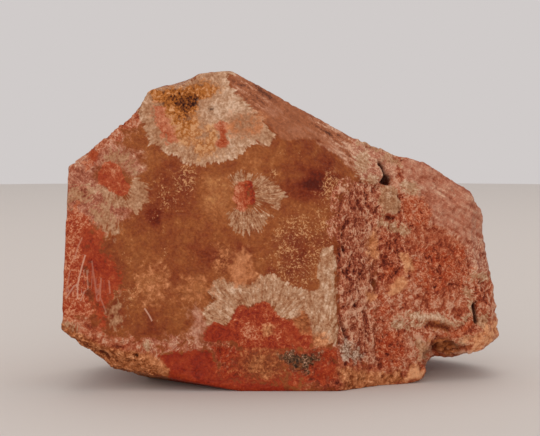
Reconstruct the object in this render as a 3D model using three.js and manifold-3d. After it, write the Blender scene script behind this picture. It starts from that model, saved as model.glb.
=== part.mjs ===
// A rough opal: one lump of stone, sawn flat on the front and broken everywhere else.
// Millimetres. x runs to the right along the sawn front, y runs back into the stone, z is up.
// The finished lump stands on its base at z = 0, with the origin under the middle of its bounding box.

import * as THREE from "three";
import { mergeVertices } from "three/addons/utils/BufferGeometryUtils.js";
import Module from "manifold-3d";

const wasm = await Module();
wasm.setup();

// Driving dimensions of the lump.
const width = 63.3;
const depth = 37;
const height = 45.2;

// Main planes and heights that follow from them. The front leans back as it rises.
const left = -29.5;
const right = left + width;
const front = -depth / 2;
const frontLean = 1.7;
const back = depth / 2;
const base = 0;

// The right-hand end stands clear of the ground beyond the foot.
const footRight = 22.3;
const footRound = 2.2;
const overhangLow = 3;
const overhangHigh = 5.9;

const roughStone = {
  color: "#a0603f",
  roughness: 0.55,
  metalness: 0,
};

// y of the sawn front at height z.
const frontAt = (z) => front + (frontLean * z) / height;

// A point on the sawn front.
const onFront = (x, z) => [x, frontAt(z), z];

// Each face is three points that lie on it. These four are shared by more than one block.
const baseFace = [[left, front, base], [right, front, base], [0, back, base]];
const frontFace = [onFront(left, base), onFront(right, base), onFront(0, height)];
const crownShoulder = [onFront(-16.7, 42.5), onFront(-9.8, 44.8), [-13, 8, 41.5]];
const backFoot = [[-10, 18, 6], [12, 18.4, 5], [0, 14.5, base]];

// The sawn block carries the flat front, the slope down to the right and most of the base.
const sawnBlockFaces = {
  base: baseFace,
  front: frontFace,
  leftSaw: [onFront(-28.4, 31.6), onFront(left, 8.9), [-26.5, 12, 20]],
  upperLeft: [onFront(-28.4, 31.6), onFront(-18.7, 39.5), [-24, 12, 31]],
  crownShoulder,
  crownTop: [onFront(-9.8, 44.8), onFront(-6.2, height), [-8, 8, 42.6]],
  slopeFacet: [onFront(-5.9, 44.5), onFront(10.5, 27.7), [12.2, -10.8, 35.4]],
  slopeTop: [[-4.2, -16, 44.6], [12.2, -10.8, 35.4], [4, 10, 35.4]],
  rightFlank: [onFront(9.8, 28.4), onFront(9.9, 5.9), [15.4, -13.3, 15]],
  rightEnd: [[19, -12, base], [21, 14, base], [17, 0, 30]],
  lowerLeftBevel: [onFront(left, 8.9), onFront(-11.3, 1.6), [-22.5, -16, 3]],
  underLeft: [[left, -18, 8.7], [-22.5, -16, 3], [-24, 12, 6]],
  underLeftToe: [[-4.2, -18.4, base], [-15, -8.8, base], [-22.5, -16, 3]],
  back: [[-10, 17.8, 5], [14, 18.4, 5], [0, 16.6, 26]],
  backLeft: [[-26, 4, 12], [-13, 17.6, 10], [-22, 5, 30]],
  backTop: [[-12, 15, 31], [10, 15.6, 29], [-4, 5, 40]],
  backFoot,
};

// The crown knob is the shoulder that stands out above the upper left edge.
const crownKnobFaces = {
  front: frontFace,
  left: [onFront(-18.7, 39.5), onFront(-17.3, 42.1), [-16.5, -8, 39]],
  top: crownShoulder,
  inner: [[-10, -18, 38], [-10, 0, 38], [-10, -9, 44]],
  under: [[-20, -18, 36], [-10, -18, 36], [-14, 0, 36]],
  back: [[-17, -7, 42], [-10, -5, 42], [-14, -2, 37]],
};

// The broken block leans against the right flank and carries the rounded right-hand end.
const brokenBlockFaces = {
  base: baseFace,
  front: [[14.9, -13.9, 3], [14.9, -13.6, 26], [33, -6.7, 10]],
  frontTop: [[14.9, -13.6, 26], [30, -8, 24], [14, -10.9, 35]],
  topNear: [[13.2, -10.6, 35], [23.2, -9, 31], [18, 10, 29]],
  topMiddle: [[23.2, -9, 31], [28.7, -7.6, 27.2], [26, 10, 25.5]],
  topFar: [[28.7, -7.6, 27.2], [31.2, -6.7, 23.6], [29, 10, 23]],
  end: [[31.5, -6.5, 21.8], [33.8, -6, 7.8], [31.5, 8, 12]],
  endFront: [[31.6, -7.3, 10], [33.3, -4.6, 10], [29.9, -7.3, 20]],
  endBack: [[33, 3, 12], [20, 16.2, 12], [26, 6, 24]],
  back: [[8, 17.6, 8], [20, 15.6, 8], [12, 14, 26]],
  backFoot,
  inner: [[9, -10, 10], [9, 10, 10], [9, 0, 30]],
  innerTop: [[12.2, -10.8, 35.2], [12.2, 10, 31.5], [9, -12, 27]],
};

// A point well inside each block, which tells the two sides of its faces apart.
const sawnBlockHeart = new THREE.Vector3(-5, 0, 18);
const crownKnobHeart = new THREE.Vector3(-13, -12, 40);
const brokenBlockHeart = new THREE.Vector3(20, 0, 14);

// Smooth hollows: a dip in the crown, and the dark scoop under the right-hand end.
const hollows = {
  crownDip: { centre: [-13.4, -16, 48.2], radii: [4.2, 6, 5.2] },
  overhangScoop: { centre: [25.6, -9.6, 3.4], radii: [3.6, 4.2, 2.6] },
};

const reach = 200;
const hollowSegments = [28, 18];
const mergeGap = 1e-4;

// A closed geometry as a solid that can be cut and joined.
function solidOf(geometry) {
  geometry.deleteAttribute("normal");
  geometry.deleteAttribute("uv");
  const merged = mergeVertices(geometry, mergeGap);
  const mesh = new wasm.Mesh({
    numProp: 3,
    vertProperties: merged.attributes.position.array,
    triVerts: new Uint32Array(merged.index.array),
  });
  return new wasm.Manifold(mesh);
}

// Everything on the far side of a face, seen from a point inside the stone.
function beyond(face, heart) {
  const corners = face.map((p) => new THREE.Vector3(...p));
  const plane = new THREE.Plane().setFromCoplanarPoints(...corners);
  if (plane.distanceToPoint(heart) > 0) plane.negate();
  const turn = new THREE.Quaternion().setFromUnitVectors(new THREE.Vector3(0, 0, 1), plane.normal);
  const foot = plane.projectPoint(heart, new THREE.Vector3());
  const box = new THREE.BoxGeometry(reach, reach, reach);
  box.translate(0, 0, reach / 2);
  box.applyQuaternion(turn);
  box.translate(foot.x, foot.y, foot.z);
  return solidOf(box);
}

// A block with every listed face cut on it.
function cutBlock(faces, heart) {
  const start = solidOf(new THREE.BoxGeometry(reach / 2, reach / 2, reach / 2));
  const cut = (block, face) => block.subtract(beyond(face, heart));
  return Object.values(faces).reduce(cut, start);
}

// A smooth egg-shaped hollow.
function hollowSolid({ centre, radii }) {
  const egg = new THREE.SphereGeometry(1, ...hollowSegments);
  egg.scale(...radii);
  egg.translate(...centre);
  return solidOf(egg);
}

// The space under the right-hand end: it rises from the foot and runs out to the right, front to back.
function undercutSolid() {
  const outline = new THREE.Shape();
  outline.moveTo(footRight - footRound, -height);
  outline.lineTo(footRight - footRound, base);
  outline.quadraticCurveTo(footRight, base + 0.2, footRight + 0.2, base + footRound / 2);
  outline.bezierCurveTo(footRight + 0.5, 2, footRight + 0.6, overhangLow, footRight + 2.4, overhangLow);
  outline.lineTo(footRight + 8.7, overhangLow + 1.1);
  outline.lineTo(right, overhangHigh);
  outline.lineTo(right + width, overhangHigh);
  outline.lineTo(right + width, -height);
  const slab = new THREE.ExtrudeGeometry(outline, { depth: reach, bevelEnabled: false, curveSegments: 8 });
  slab.rotateX(Math.PI / 2);
  slab.translate(0, reach / 2, 0);
  return solidOf(slab);
}

// The whole lump, moved so that its base is at z = 0 under the middle of its bounding box.
function stoneGeometry() {
  const sawnBlock = cutBlock(sawnBlockFaces, sawnBlockHeart);
  const crownKnob = cutBlock(crownKnobFaces, crownKnobHeart);
  const brokenBlock = cutBlock(brokenBlockFaces, brokenBlockHeart);
  let stone = sawnBlock.add(crownKnob).add(brokenBlock).subtract(undercutSolid());
  for (const hollow of Object.values(hollows)) stone = stone.subtract(hollowSolid(hollow));
  const mesh = stone.getMesh();
  const geometry = new THREE.BufferGeometry();
  geometry.setAttribute("position", new THREE.BufferAttribute(mesh.vertProperties, mesh.numProp));
  geometry.setIndex(new THREE.BufferAttribute(mesh.triVerts, 1));
  geometry.computeBoundingBox();
  const { min, max } = geometry.boundingBox;
  geometry.translate(-(min.x + max.x) / 2, -(min.y + max.y) / 2, -min.z);
  geometry.computeVertexNormals();
  return geometry;
}

const opal = new THREE.Mesh(stoneGeometry(), new THREE.MeshStandardMaterial(roughStone));
opal.name = "opal_stone";

const lump = new THREE.Group();
lump.add(opal);

export default lump;
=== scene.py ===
import math
from functools import partial

import bpy
import numpy as np
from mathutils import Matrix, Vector, noise
from mathutils.bvhtree import BVHTree


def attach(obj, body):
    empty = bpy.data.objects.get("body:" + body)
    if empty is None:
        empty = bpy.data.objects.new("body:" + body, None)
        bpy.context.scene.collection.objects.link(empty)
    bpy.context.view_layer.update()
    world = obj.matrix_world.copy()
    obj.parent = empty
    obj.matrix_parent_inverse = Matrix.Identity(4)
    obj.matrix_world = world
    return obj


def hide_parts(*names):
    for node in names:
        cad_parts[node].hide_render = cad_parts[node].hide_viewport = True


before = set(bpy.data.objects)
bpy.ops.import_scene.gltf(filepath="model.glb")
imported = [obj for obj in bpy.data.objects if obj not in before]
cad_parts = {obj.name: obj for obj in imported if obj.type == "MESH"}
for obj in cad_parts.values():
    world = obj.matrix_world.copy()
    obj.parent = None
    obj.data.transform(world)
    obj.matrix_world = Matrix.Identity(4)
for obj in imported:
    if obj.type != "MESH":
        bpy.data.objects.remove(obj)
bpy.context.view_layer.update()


# sRGB hex to the linear values that shaders and lights take
def linear(hexCode):
    steps = [int(hexCode[i:i + 2], 16) / 255 for i in (1, 3, 5)]
    return [s / 12.92 if s <= 0.04045 else ((s + 0.055) / 1.055) ** 2.4 for s in steps] + [1.0]


# adds one node, sets its properties, fills its inputs with values or links, and gives back one output
def addNode(tree, kind, inputs=None, out=0, stops=None, **settings):
    node = tree.nodes.new(kind)
    for name, value in settings.items():
        setattr(node, name, value)
    for key, value in (inputs or {}).items():
        if isinstance(value, bpy.types.NodeSocket):
            tree.links.new(value, node.inputs[key])
        else:
            node.inputs[key].default_value = value
    if stops:
        ramp = node.color_ramp
        while len(ramp.elements) < len(stops):
            ramp.elements.new(1.0)
        for element, (place, hexCode) in zip(ramp.elements, stops):
            element.position = place
            element.color = linear(hexCode)
    return node.outputs[out]


# Camera: eye level a little above the crown, looking down on the sawn front
camera = {
    "place": (-0.00223, -0.27805, 0.0436),
    "pitchDown": 4.2,
    "lens": 123.8,
    "sensor": 36.0,
    "picture": (540, 436),
}
cameraData = bpy.data.cameras.new("camera")
cameraData.lens = camera["lens"]
cameraData.sensor_width = camera["sensor"]
cameraData.clip_start = 0.01
cameraObject = bpy.data.objects.new("camera", cameraData)
cameraObject.location = camera["place"]
cameraObject.rotation_euler = (math.radians(90 - camera["pitchDown"]), 0, 0)
bpy.context.scene.collection.objects.link(cameraObject)
bpy.context.scene.camera = cameraObject
print("camera set")


# Studio: a round pale table top, a pale surround and two large soft lights
studio = {
    "floorColour": "#d8d3ce",
    "floorRoughness": 0.8,
    "floorSpecular": 0.1,
    "floorRadius": 0.525,   # metres
    "floorSides": 128,
    "surround": "#d0cbca",
    "surroundStrength": 1.0,
    "aim": (0, 0, 0.02),    # metres, where the lights point
}
studioLights = {
    "overheadBack": {"place": (0.02, 0.16, 0.55), "size": 0.5, "power": 0.7, "colour": "#fff6ee"},
    "frontFill": {"place": (-0.05, -1.0, 0.22), "size": 0.7, "power": 4.0, "colour": "#fff4ea"},
}


def makeStudio():
    scene = bpy.context.scene
    scene.view_settings.view_transform = "Standard"
    world = bpy.data.worlds.new("paleSurround")
    world.use_nodes = True
    scene.world = world
    background = world.node_tree.nodes["Background"]
    background.inputs["Color"].default_value = linear(studio["surround"])
    background.inputs["Strength"].default_value = studio["surroundStrength"]

    sides, radius = studio["floorSides"], studio["floorRadius"]
    turns = [2 * math.pi * k / sides for k in range(sides)]
    floorMesh = bpy.data.meshes.new("tableTop")
    rim = [(radius * math.cos(a), radius * math.sin(a), 0) for a in turns]
    floorMesh.from_pydata(rim, [], [range(sides)])
    floor = bpy.data.objects.new("tableTop", floorMesh)
    scene.collection.objects.link(floor)
    paint = bpy.data.materials.new("satinPaleLaminate")
    paint.use_nodes = True
    shader = paint.node_tree.nodes["Principled BSDF"]
    shader.inputs["Base Color"].default_value = linear(studio["floorColour"])
    shader.inputs["Roughness"].default_value = studio["floorRoughness"]
    shader.inputs["Specular IOR Level"].default_value = studio["floorSpecular"]
    floorMesh.materials.append(paint)

    for name, light in studioLights.items():
        data = bpy.data.lights.new(name, "AREA")
        data.shape = "DISK"
        data.size = light["size"]
        data.energy = light["power"]
        data.color = linear(light["colour"])[:3]
        lamp = bpy.data.objects.new(name, data)
        lamp.location = light["place"]
        aim = Vector(studio["aim"]) - lamp.location
        lamp.rotation_euler = aim.to_track_quat("-Z", "Y").to_euler()
        lamp.visible_camera = False
        scene.collection.objects.link(lamp)


makeStudio()
print("studio made")


# Stone: the solid, finely remeshed, then broken, pitted and cracked
stone = {
    "voxel": 0.36,         # mm
    "softenTimes": 3,      # rounds the sawn edges to about half a millimetre
    "wrap": 4.0,           # mm that a marking on the front runs back over an edge
    "zoneEdge": (3.0, 1.0),   # solid depth in mm and fade of a marking that doesn't give them
    "seenSlack": 0.8,      # mm behind the first surface that still counts as seen
    "hiddenFrom": (1.0, 4.0),   # mm behind it where the hidden sides begin and are full
    "spotFade": (0.4, 1.3),     # of a soft spot's half size
    "lineReach": (0.2, 0.5),    # mm beside a line where it fades out
    "tintBlend": 6,        # times that tints are evened out
    # painted shade in creases: times the relief is evened out, and the mm below it that gives full
    # darkening
    "creaseShadeBlend": 8,
    "creaseShadeDepth": 0.12,   # mm
    # how broken a marking is, and from and to which depth in mm
    "rough": {"crust": (1.0, -0.6, 0.6), "seam": (1.0, -0.3, 0.6), "bevel": (0.7, -0.3, 0.2),
              "facet": (0.3, -0.5, 0.5)},
    "frontSwell": 0.4,     # share of the swell on the seen side
    # height and width of the lumps, mm
    "brokenSwell": (0.55, 5.0),
    "brokenLump": (0.24, 1.6),
    "brokenGrit": (0.14, 0.7),
    "sawnWave": (0.05, 2.5),
    "creases": (0.26, 2.4),
    "creaseEdge": 0.14,    # of the noise that the creases follow
    "crackDepth": 0.45,    # mm
    "baseHeight": 0.5,     # mm that stays flat at the base
    "hiddenSeed": 7,
    "hiddenRosettes": 20,
    "rosetteSize": (1.5, 5.5),   # mm
    "rosetteWarp": (1.6, 2.6),   # mm, height and width
    "rosetteStretch": (0.6, 1.4),
    "rosetteFull": 0.3,    # mm
    "coreShare": (-0.2, 0.6),    # red core, of the rosette's size
    "coreOff": 0.25,       # how far it lies off the middle, of the size
    "coreWarp": 1.4,
    "patchSize": 9.0,      # mm, crust between the brown windows of the hidden sides
    "patchSteep": 4,
    "patchRaise": 0.6,     # mm
    "patchTintSize": 12.0,   # mm
}

# Markings on the seen side. Places are pixels of the 540 by 436 picture.
# oval: centre, half width, half height, turn. outline: corners. stroke: a line with a half width.
# look: tint along the mineral's colours, how grainy, solid depth in mm (low ones break up) and
# how many times wider the edge fades. A later zone recolours an earlier one.
zones = {
    # salmon brown sawn slope on the right of the crown, streaked at both ends
    "facet": {
        "slope": {"outline": [(226, 76), (240, 73), (300, 101), (336, 124), (350, 136), (356, 150),
            (356, 170), (347, 161), (338, 151), (326, 146), (318, 141), (304, 139), (290, 139),
            (279, 138), (271, 129), (263, 119), (254, 111), (249, 104), (243, 99), (236, 95),
            (231, 87)], "look": (0.5, 0.1)},
        "slopeHigh": {"outline": [(230, 82), (246, 78), (262, 84), (276, 93), (271, 103), (262, 109),
            (254, 111), (248, 103), (240, 97), (233, 90)], "look": (0.4, 0.8)},
        "slopeLow": {"stroke": [(316, 116), (330, 130), (346, 142), (358, 156)], "half": 9,
            "look": (0.7, 0.9)},
        # painted highlight: a pale line along the crest where the slope meets the right-hand block
        "crestHighlight": {"stroke": [(319, 141), (328, 146), (338, 151), (346, 161), (354, 170)],
            "half": 2.4, "look": (1.0, 0.4, 0.2)},
    },
    # red broken crust with pale threads
    "crust": {
        "endBlock": {"outline": [(376, 184), (380, 160), (356, 148), (352, 137), (378, 141), (400, 153),
            (430, 163), (470, 190), (488, 220), (494, 262), (503, 325), (503, 338), (470, 358),
            (430, 362), (428, 372), (415, 385), (376, 390), (374, 362), (376, 300)],
            "look": (0.6, 0.8)},
        "endOrange": {"outline": [(404, 226), (430, 224), (462, 232), (466, 250), (440, 250),
            (414, 246)], "look": (0.55, 0.5)},
        "endDark": {"oval": (394, 256, 14, 24, 10), "look": (0.3, 0.9)},
        "endSalmon": {"oval": (448, 304, 22, 9, -5), "look": (0.75, 0.5)},
        "endRim": {"stroke": [(497, 300), (499, 326), (492, 342), (470, 350)], "half": 9,
            "look": (1.0, 0.4)},
        "footCrust": {"outline": [(403, 332), (414, 330), (428, 336), (433, 350), (428, 362),
            (416, 360), (408, 346)], "look": (1.15, 0.8)},
        "topEdge": {"stroke": [(66, 170), (84, 158), (104, 140), (120, 127), (137, 114)], "half": 9,
            "look": (0.8, 0.6, 0.6, 3)},
        "leftFoot": {"outline": [(60, 312), (78, 312), (95, 322), (104, 330), (120, 338), (140, 341),
            (166, 340), (196, 342), (204, 350), (180, 354), (158, 358), (140, 358), (112, 352),
            (88, 342), (60, 326)], "look": (0.65, 0.5, 0.5, 3)},
        "baseLeft": {"outline": [(204, 342), (232, 344), (240, 352), (236, 372), (222, 378),
            (214, 366)], "look": (0.5, 0.7, 0.5, 3)},
        "baseRight": {"outline": [(300, 348), (340, 348), (372, 362), (400, 368), (404, 384),
            (330, 392), (300, 388)], "look": (0.2, 0.5, 0.4, 3)},
    },
    # brownish pink rough band beside the sawn face
    "seam": {
        "band": {"outline": [(338, 208), (343, 194), (352, 184), (360, 180), (372, 180), (379, 188),
            (382, 230), (378, 262), (378, 300), (378, 335), (378, 362), (362, 362), (345, 358),
            (339, 345), (339, 320), (337, 290), (337, 250)], "look": (0.45, 0.8, 3, 2)},
        "bandPurple": {"oval": (362, 214, 9, 16, 10), "look": (0.25, 0.8)},
        "bandDark": {"oval": (356, 268, 8, 14, 0), "look": (0.25, 0.9)},
        "bandGrey": {"oval": (352, 322, 9, 18, 5), "look": (0.6, 0.8)},
        "frontEdge": {"stroke": [(346, 182), (338, 196), (334, 215), (334, 236)], "half": 6,
            "look": (0.55, 0.9, 0.1)},
    },
    # smooth streaky pink at the right-hand end and on the upper left
    "pink": {
        "end": {"outline": [(398, 158), (432, 166), (468, 191), (488, 222), (494, 262), (480, 262),
            (456, 232), (432, 224), (424, 200), (404, 178)], "look": (0.45, 0.3, 0.8, 2)},
        "ridge": {"outline": [(352, 138), (378, 142), (400, 158), (396, 176), (380, 184), (360, 180),
            (354, 164)], "look": (0.65, 0.8, 3, 1.5)},
        "endGrey": {"outline": [(468, 238), (486, 236), (492, 262), (490, 276), (474, 270), (464, 254)],
            "look": (0.5, 0.9, 0.5, 2)},
        "upperLeft": {"outline": [(96, 154), (112, 143), (124, 149), (140, 153), (142, 168), (128, 178),
            (118, 164), (104, 162)], "look": (0.45, 0.6, 0.5, 2)},
        "leftEdge": {"outline": [(66, 168), (92, 154), (104, 160), (96, 176), (104, 188), (124, 200),
            (132, 212), (112, 226), (92, 224), (64, 214)], "look": (0.3, 0.6, 0.5, 2.5)},
        "fanSide": {"outline": [(193, 306), (204, 312), (204, 328), (202, 340), (210, 348), (194, 346)],
            "look": (0.45, 0.2, 0.5, 3)},
        "lowStrip": {"stroke": [(152, 346), (176, 344), (204, 345)], "half": 5,
            "look": (0.2, 0.8, 0.02, 3)},
    },
    # cream chalk in rosettes, coarse ones are fibrous
    "chalk": {
        "crown": {"outline": [(137, 111), (142, 99), (147, 92), (152, 88), (166, 86), (182, 84),
            (194, 76), (206, 70), (219, 69), (238, 73), (226, 77), (231, 86), (235, 94), (242, 98),
            (246, 103), (253, 110), (262, 119), (269, 128), (276, 135), (273, 143), (268, 148),
            (262, 145), (257, 140), (251, 144), (243, 152), (234, 158), (226, 161), (215, 162),
            (208, 163), (202, 168), (196, 165), (187, 163), (179, 160), (176, 154), (170, 153),
            (163, 150), (156, 148), (150, 145), (147, 134), (144, 126)], "heart": (205, 106),
            "look": (0.2, 0.3)},
        "crownBright": {"outline": [(205, 98), (222, 90), (238, 98), (250, 110), (240, 116), (216, 120),
            (203, 114)], "heart": (205, 106), "look": (0.0, 0.2)},
        "crownLeft": {"outline": [(140, 108), (152, 104), (160, 126), (170, 142), (172, 152),
            (152, 146)], "heart": (205, 106), "look": (0.55, 0.4)},
        "crownLow": {"outline": [(174, 142), (214, 140), (214, 158), (200, 166), (180, 160)],
            "heart": (205, 106), "look": (0.4, 0.5)},
        "leftRight": {"outline": [(130, 184), (137, 179), (146, 183), (151, 195), (146, 204),
            (136, 213), (128, 206), (126, 198)], "heart": (113, 178), "look": (0.6, 0.1, 3, 1.5)},
        "leftLow": {"outline": [(100, 186), (106, 188), (116, 196), (126, 198), (130, 208), (116, 208),
            (104, 202)], "heart": (113, 178), "look": (0.6, 0.4, 0.6, 1.5)},
        "leftWhite": {"outline": [(90, 208), (104, 204), (114, 212), (118, 230), (112, 238), (104, 228),
            (94, 220)], "heart": (113, 178), "look": (0.7, 0.2, 0.25, 2.5)},
        "leftCorner": {"outline": [(66, 190), (80, 186), (92, 192), (88, 200), (70, 206)],
            "heart": (113, 178), "look": (0.7, 0.2, 0.3, 3)},
        "leftTop": {"outline": [(104, 160), (112, 150), (126, 152), (136, 160), (134, 174), (126, 170),
            (118, 163)], "heart": (113, 178), "look": (0.8, 0.3, 0.2, 2)},
        "centreRight": {"outline": [(252, 182), (262, 176), (275, 181), (285, 197), (281, 206),
            (276, 206), (262, 204), (254, 206), (256, 196)], "heart": (243, 197),
            "look": (0.85, 0.8, 0.5, 1.5)},
        "centreLow": {"outline": [(228, 214), (236, 210), (252, 210), (262, 211), (270, 216),
            (262, 228), (250, 234), (238, 232), (230, 225)], "heart": (243, 197),
            "look": (0.95, 0.9, 0.4, 1.5)},
        "centreTuft": {"outline": [(234, 184), (230, 176), (242, 172), (252, 176), (254, 184)],
            "heart": (243, 197), "look": (0.85, 0.9, 0.1, 1.5)},
        "fan": {"outline": [(209, 293), (213, 282), (223, 276), (229, 281), (250, 283), (259, 277),
            (268, 273), (278, 276), (285, 282), (293, 288), (307, 290), (317, 294), (319, 305),
            (316, 342), (311, 330), (310, 321), (305, 310), (298, 316), (290, 319), (280, 317),
            (274, 307), (264, 301), (255, 303), (248, 307), (239, 306), (233, 313), (231, 322),
            (223, 325), (215, 322), (208, 326), (205, 318), (203, 309), (216, 300)],
            "heart": (262, 340), "look": (0.5, 0.7)},
        "arm": {"outline": [(310, 321), (306, 306), (306, 290), (318, 292), (319, 282), (317, 270),
            (320, 261), (319, 253), (327, 248), (334, 247), (336, 261), (336, 295), (339, 330),
            (337, 345), (324, 344), (315, 341)], "heart": (308, 390), "look": (0.55, 0.8)},
        "greySmear": {"outline": [(106, 296), (116, 292), (122, 300), (120, 320), (108, 328),
            (104, 312)], "heart": (113, 178), "look": (1.0, 0.2, 0.05, 4)},
        "nodule": {"outline": [(380, 187), (388, 184), (394, 188), (399, 198), (400, 211), (396, 214),
            (389, 212), (384, 216), (382, 206), (378, 204)], "heart": (390, 205),
            "look": (0.75, 0.5, 0.7)},
        "noduleLow": {"outline": [(381, 214), (385, 222), (398, 224), (410, 230), (404, 236),
            (390, 229), (380, 226)], "heart": (390, 205), "look": (0.75, 0.6, 0.2, 2)},
        "ridgeCream": {"oval": (362, 163, 7, 11, 0), "heart": (387, 178), "look": (0.4, 0.6, 0.3, 2)},
        "ridgeLow": {"oval": (372, 180, 9, 5, 0), "heart": (387, 178), "look": (0.5, 0.8, 0.2, 2)},
        "topCream": {"stroke": [(360, 142), (370, 145), (379, 149)], "half": 3, "heart": (387, 178),
            "look": (0.5, 0.3, 0.3, 2)},
        "starCream": {"oval": (392, 160, 8, 5, 20), "heart": (387, 178), "look": (0.7, 0.5, 0.2, 2)},
        "rightCream": {"outline": [(401, 183), (412, 180), (419, 187), (418, 196), (408, 196),
            (400, 191)], "heart": (387, 178), "look": (0.4, 0.5, 0.4, 1.5)},
        "veinStart": {"outline": [(388, 322), (398, 314), (412, 313), (428, 315), (426, 324),
            (410, 328), (398, 328)], "heart": (430, 290), "look": (0.6, 1.0, 0.02, 2)},
        "longVein": {"stroke": [(424, 317), (436, 318), (446, 322), (458, 325), (468, 318)],
            "half": 3.2, "heart": (430, 290), "look": (0.4, 0.5, 0.2, 1.5)},
        "endVein": {"stroke": [(466, 290), (471, 300), (473, 312)], "half": 2.5, "heart": (450, 290),
            "look": (0.75, 0.6, 0.1, 2)},
        "endPatch": {"oval": (480, 277, 8, 4, 0), "heart": (450, 290), "look": (0.75, 0.8, 0.1, 2)},
        "endSpot": {"oval": (484, 322, 5, 7, 0), "heart": (470, 300), "look": (0.7, 0.4, 0.3, 2)},
        "lipCream": {"stroke": [(452, 344), (464, 341), (476, 336)], "half": 3, "heart": (430, 330),
            "look": (0.85, 0.4, 0.2, 2)},
        "footPale": {"outline": [(414, 340), (424, 342), (430, 350), (424, 360), (418, 352)],
            "heart": (400, 320), "look": (0.9, 0.6, 0.2, 2)},
        "lowSpot": {"oval": (146.5, 345.5, 4.5, 4, 0), "heart": (146, 330),
            "look": (0.5, 0.4, 0.5, 1.5)},
        "bevelTip": {"stroke": [(62, 322), (68, 326), (74, 330)], "half": 4.5, "heart": (80, 300),
            "look": (0.8, 0.6, 0.2, 2)},
    },
    # iron stain on the crown: dark pit, gold round it, salmon below
    "stain": {
        "goldWash": {"outline": [(150, 91), (165, 88), (184, 87), (196, 80), (210, 80), (218, 88),
            (214, 98), (200, 101), (198, 113), (188, 124), (172, 122), (160, 108), (153, 101)],
            "look": (0.7, 0.7, 3, 2)},
        "goldRight": {"oval": (206, 88, 10, 7, 0), "look": (0.85, 0.3, 3, 2)},
        "salmon": {"outline": [(160, 110), (174, 113), (196, 112), (202, 124), (194, 140), (174, 141),
            (162, 130)], "look": (0.95, 0.6, 0.5, 3)},
        "ironLeft": {"oval": (176, 99, 5.5, 6, 0), "look": (0.15, 1.0)},
        "ironMiddle": {"oval": (186, 104, 6, 8, 0), "look": (0.25, 0.9)},
        "ironRight": {"oval": (194, 100, 4, 9, 0), "look": (0.2, 1.0)},
        "ironLow": {"oval": (182, 117, 8, 5, 0), "look": (0.5, 1.0, 0.3)},
        "crownTan": {"outline": [(184, 128), (202, 126), (216, 130), (216, 150), (200, 156),
            (188, 146)], "look": (0.95, 0.4, 0.15, 3)},
    },
    # red and orange cores
    "red": {
        "leftCore": {"outline": [(96, 175), (104, 164), (110, 161), (121, 167), (124, 176), (130, 184),
            (127, 196), (118, 196), (112, 190), (105, 187), (98, 181)], "look": (0.6, 0.4)},
        "leftCoreLight": {"oval": (113, 172, 9, 6, 20), "look": (0.9, 0.4)},
        "leftSpotHigh": {"oval": (75, 204, 4, 5, 0), "look": (0.85, 0.5, 0.2, 2)},
        "edgeBit": {"oval": (93, 155, 4, 5, -15), "look": (0.6, 0.3, 0.3, 1.5)},
        "edgeBitLow": {"oval": (95, 163, 2.5, 5, -15), "look": (0.6, 0.5, 0.1, 1.5)},
        "edgeBitLeft": {"oval": (87, 168, 4, 5, -15), "look": (0.9, 0.5, 0.1, 2)},
        "centreCore": {"outline": [(235, 190), (239, 182), (247, 184), (250, 194), (250, 206),
            (244, 211), (237, 208), (235, 200)], "look": (0.75, 0.5, 3, 1.3)},
        "centreDark": {"stroke": [(249, 184), (252, 193), (253, 203)], "half": 3,
            "look": (0.1, 0.9, 0.2)},
        "dogBone": {"outline": [(216, 122), (222, 120), (228, 124), (227, 131), (226, 136), (229, 142),
            (227, 148), (219, 149), (215, 145), (219, 138), (219, 132), (215, 127)],
            "look": (0.95, 0.3, 3, 0.8)},
        "lowCore": {"outline": [(232, 341), (226, 336), (230, 326), (232, 316), (236, 307), (243, 305),
            (249, 308), (256, 304), (264, 302), (270, 304), (275, 312), (280, 318), (292, 320),
            (302, 328), (310, 326), (314, 342), (309, 349), (294, 348), (275, 349), (258, 350),
            (242, 347)], "look": (0.5, 0.8)},
        "lowCoreLight": {"oval": (250, 330, 9, 8, 0), "look": (0.85, 0.8)},
        "lowLobe": {"outline": [(203, 336), (208, 327), (215, 323), (223, 326), (231, 323), (238, 330),
            (234, 340), (218, 341), (206, 341)], "look": (0.3, 0.3, 3, 1.3)},
        "lowRight": {"oval": (296, 335, 13, 10, 10), "look": (0.5, 0.4)},
        "leftMottle": {"outline": [(58, 222), (70, 212), (86, 214), (94, 226), (88, 250), (88, 290),
            (94, 312), (78, 318), (56, 320)], "look": (0.75, 1.0, 0.6, 2.5)},
        "leftWedge": {"outline": [(82, 226), (92, 226), (100, 238), (105, 252), (118, 268), (126, 280),
            (114, 292), (107, 302), (105, 329), (100, 324), (94, 305), (89, 285), (83, 268), (80, 250)],
            "look": (0.5, 0.3, 0.7, 4)},
        "toePatch": {"outline": [(158, 355), (166, 352), (177, 351), (187, 353), (193, 350), (209, 349),
            (213, 354), (215, 366), (216, 378), (230, 382), (262, 383), (290, 387), (300, 393),
            (200, 393), (172, 384), (166, 368)], "look": (0.25, 0.15, 3, 1.3)},
        "baseBand": {"outline": [(214, 350), (250, 350), (300, 350), (338, 350), (336, 376), (300, 386),
            (250, 384), (216, 380)], "look": (0.3, 0.6, 0.1, 4)},
        "orangePatch": {"outline": [(402, 199), (412, 196), (426, 200), (430, 212), (424, 228),
            (414, 226), (405, 218)], "look": (0.8, 0.8, 0.1, 2.5)},
        "endRed": {"outline": [(414, 252), (440, 246), (462, 250), (468, 270), (456, 288), (430, 292),
            (416, 276)], "look": (0.6, 0.9, 0.0, 4)},
        "footRed": {"outline": [(377, 335), (384, 331), (400, 336), (403, 350), (399, 364), (386, 366),
            (378, 352)], "look": (0.62, 1.0, 0.1, 2)},
        "crownStreak": {"stroke": [(158, 109), (160, 120), (164, 130), (171, 138)], "half": 5,
            "look": (0.9, 0.2, 0.3, 2.5)},
        "lipBand": {"stroke": [(444, 335), (454, 335), (464, 330), (471, 324)], "half": 3.5,
            "look": (0.9, 0.6, 0.4, 1.5)},
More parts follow.
